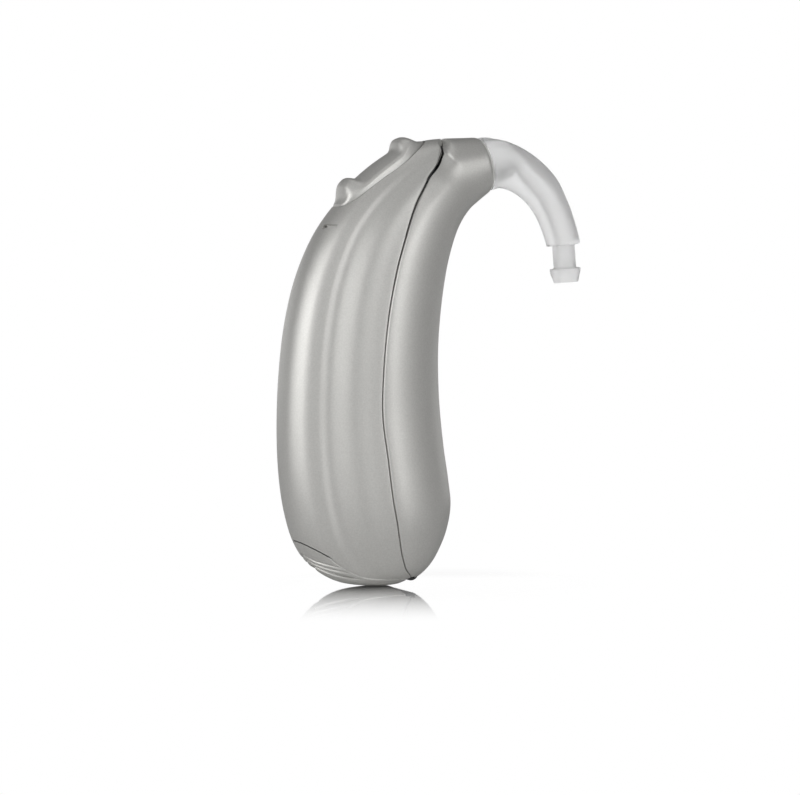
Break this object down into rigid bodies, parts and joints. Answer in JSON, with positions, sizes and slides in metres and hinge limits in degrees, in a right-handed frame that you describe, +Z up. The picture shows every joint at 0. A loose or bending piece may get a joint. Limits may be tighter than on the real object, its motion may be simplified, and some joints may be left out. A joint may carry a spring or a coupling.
{
  "type": "behind the ear hearing aid",
  "caption": "Behind the ear hearing aid with a curved two-part casing, rocker switch, hinged battery door and a clear bent ear hook with a barbed tip for sound tubing.",
  "frame": {"origin": "centre of the bounding box in X and Y, at the lower end of the casing in Z", "axes": "X from the spine towards the ear hook, Y across the casing, Z up along the casing"},
  "size_m": [0.0324, 0.0114, 0.0446],
  "materials": {
    "satin_casing": "satin metallic lacquer",
    "clear_hook": "clear, lightly frosted",
    "rubber_dark": "matt",
    "rubber_pale": "matt",
    "steel": "satin",
    "white_plastic": "moulded",
    "black_plastic": "moulded",
    "grey_plastic": "moulded",
    "spring_brass": "plated",
    "board_green": "solder mask",
    "ceramic_tan": "fired",
    "copper_wire": "enamelled"
  },
  "bodies": {
    "case": {"rear_housing": "satin_casing", "front_housing": "satin_casing", "casing_gasket": "rubber_dark", "rocker_pivot_pin": "steel", "up_switch": "black_plastic", "down_switch": "black_plastic", "door_hinge_pin": "steel", "positive_contact": "spring_brass", "negative_contact": "spring_brass", "chassis": "grey_plastic", "circuit_board": "board_green", "board_standoffs": "spring_brass", "processor_chip": "black_plastic", "memory_chip": "black_plastic", "capacitors": "ceramic_tan", "front_microphone": "steel", "rear_microphone": "steel", "front_mic_boot": "rubber_dark", "rear_mic_boot": "rubber_dark", "receiver": "steel", "receiver_boot": "rubber_dark", "receiver_tube": "rubber_pale", "telecoil_core": "black_plastic", "telecoil_winding": "copper_wire", "sound_spout": "steel"},
    "door": {"battery_door": "satin_casing", "battery_can": "steel", "battery_seal": "rubber_dark", "battery_cap": "steel"},
    "rocker": {"rocker_button": "satin_casing"},
    "up_push": {"up_plunger": "white_plastic"},
    "down_push": {"down_plunger": "white_plastic"},
    "washer": {"hook_seal": "rubber_pale"},
    "hook": {"earhook": "clear_hook"}
  },
  "joints": [
    {"name": "door_swing", "type": "hinge", "parent": "case", "child": "door", "pos_m": [-0.00327, 0, 0.00135], "axis": [0, -1, 0], "range_deg": [0, 75]},
    {"name": "rocker_tilt", "type": "hinge", "parent": "case", "child": "rocker", "pos_m": [-0.00525, 0, 0.04008], "axis": [0, -1, 0], "range_deg": [-3, 3], "stiffness_Nm_per_rad": 0.02},
    {"name": "up_press", "type": "slide", "parent": "case", "child": "up_push", "axis": [-0.5791, 0, 0.8152], "range_m": [-0.00016, 0.00016]},
    {"name": "down_press", "type": "slide", "parent": "case", "child": "down_push", "axis": [-0.5791, 0, 0.8152], "range_m": [-0.00016, 0.00016]},
    {"name": "hook_turn", "type": "hinge", "parent": "case", "child": "washer", "pos_m": [0.00521, 0, 0.04182], "axis": [0.9703, 0, 0.2419], "range_deg": [0, 1584]},
    {"name": "hook_advance", "type": "slide", "parent": "washer", "child": "hook", "axis": [0.9703, 0, 0.2419], "range_m": [0, 0.0022]}
  ],
  "couplings": [
    {"joint": "up_press", "follows": "rocker_tilt", "m_per_rad": 0.0028},
    {"joint": "down_press", "follows": "rocker_tilt", "m_per_rad": -0.0028},
    {"joint": "hook_turn", "follows": "hook_advance", "rad_per_m": 12566}
  ]
}
